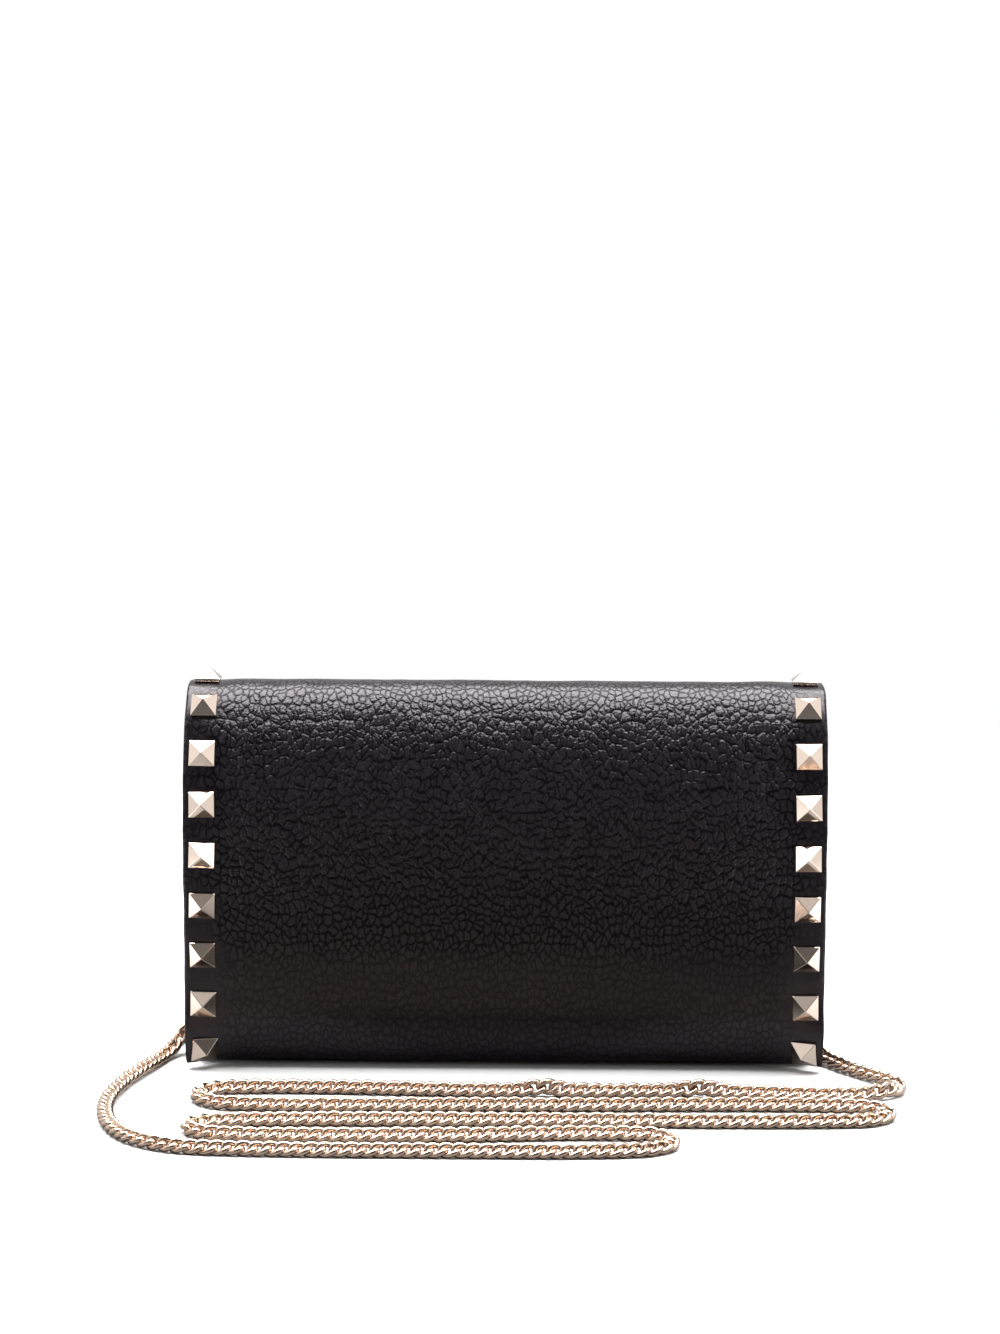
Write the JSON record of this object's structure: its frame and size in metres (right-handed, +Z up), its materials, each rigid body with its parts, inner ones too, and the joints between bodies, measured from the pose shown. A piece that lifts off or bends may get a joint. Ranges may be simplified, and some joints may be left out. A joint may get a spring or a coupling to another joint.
{
  "type": "chain wallet",
  "caption": "Flap wallet in pebble-grained black leather, pyramid studs down both edges of the flap, with a detachable curb chain laid in rows in front.",
  "frame": {"origin": "on the table, under the middle of the closed wallet's box, chain left out", "axes": "+X to the wallet's right seen from the front, +Y from the studded front to the back, +Z up"},
  "size_m": [0.2465, 0.1427, 0.1256],
  "materials": {
    "grained_leather": "pebble-grained calf leather, satin",
    "smooth_leather": "fine-grained folded leather, satin",
    "slot_leather": "fine-grained leather, low satin",
    "board": "bonded fibre board, matt",
    "lining": "fine twill lining, matt",
    "tape": "woven zip tape, matt",
    "gold": "polished pale gold plating",
    "magnet": "nickel-coated magnet",
    "plain_steel": "plain steel"
  },
  "bodies": {
    "wallet_body": {"back_panel": "grained_leather", "back_board": "board", "back_lining": "lining", "base_panel": "grained_leather", "base_board": "board", "front_panel": "grained_leather", "front_board": "board", "front_lining": "lining", "gusset_left": "smooth_leather", "gusset_right": "smooth_leather", "slip_pocket": "slot_leather", "card_slot_left_1": "slot_leather", "card_slot_left_2": "slot_leather", "card_slot_left_3": "slot_leather", "card_slot_right_1": "slot_leather", "card_slot_right_2": "slot_leather", "card_slot_right_3": "slot_leather", "zip_pocket_front": "lining", "zip_pocket_back": "lining", "zip_tape_front": "tape", "zip_tape_back": "tape", "zip_teeth_front": "gold", "zip_teeth_back": "gold", "zip_stops": "gold", "snap_socket": "gold", "snap_magnet": "magnet", "snap_socket_washer": "plain_steel", "tab_left": "smooth_leather", "tab_right": "smooth_leather", "tab_rivet_left": "gold", "tab_rivet_right": "gold", "ring_left": "gold", "ring_right": "gold", "swivel_left": "gold", "swivel_right": "gold", "chain": "gold"},
    "flap": {"flap_leather": "grained_leather", "flap_board": "board", "flap_lining": "lining", "studs_left": "gold", "studs_right": "gold", "stud_washers_left": "gold", "stud_washers_right": "gold", "snap_post": "gold", "snap_post_washer": "plain_steel"},
    "zip_slider": {"zip_slider": "gold"},
    "zip_pull": {"zip_pull": "gold"},
    "clasp_left": {"clasp_left": "gold", "gate_pin_left": "gold"},
    "clasp_right": {"clasp_right": "gold", "gate_pin_right": "gold"},
    "gate_left": {"gate_left": "gold"},
    "gate_right": {"gate_right": "gold"}
  },
  "joints": [
    {"name": "flap_open", "type": "hinge", "parent": "wallet_body", "child": "flap", "pos_m": [0, 0.02424, 0.10087], "axis": [-1, 0, 0], "range_deg": [0, 150]},
    {"name": "zip_slide", "type": "slide", "parent": "wallet_body", "child": "zip_slider", "axis": [-1, 0, 0], "range_m": [0, 0.128]},
    {"name": "zip_pull_swing", "type": "hinge", "parent": "zip_slider", "child": "zip_pull", "pos_m": [0.0705, 0.00424, 0.0836], "axis": [0, 1, 0], "range_deg": [0, 150]},
    {"name": "clasp_swivel_left", "type": "hinge", "parent": "wallet_body", "child": "clasp_left", "pos_m": [-0.0896, 0.00424, 0.0656], "axis": [0, 0, 1], "range_deg": [-24, 24]},
    {"name": "gate_left_open", "type": "hinge", "parent": "clasp_left", "child": "gate_left", "pos_m": [-0.0908, 0.00424, 0.0613], "axis": [0, 1, 0], "range_deg": [0, 14], "stiffness_Nm_per_rad": 0.002, "springref_deg": -11.46},
    {"name": "clasp_swivel_right", "type": "hinge", "parent": "wallet_body", "child": "clasp_right", "pos_m": [0.0896, 0.00424, 0.0656], "axis": [0, 0, 1], "range_deg": [-24, 24]},
    {"name": "gate_right_open", "type": "hinge", "parent": "clasp_right", "child": "gate_right", "pos_m": [0.0908, 0.00424, 0.0613], "axis": [0, -1, 0], "range_deg": [0, 14], "stiffness_Nm_per_rad": 0.002, "springref_deg": -11.46}
  ]
}
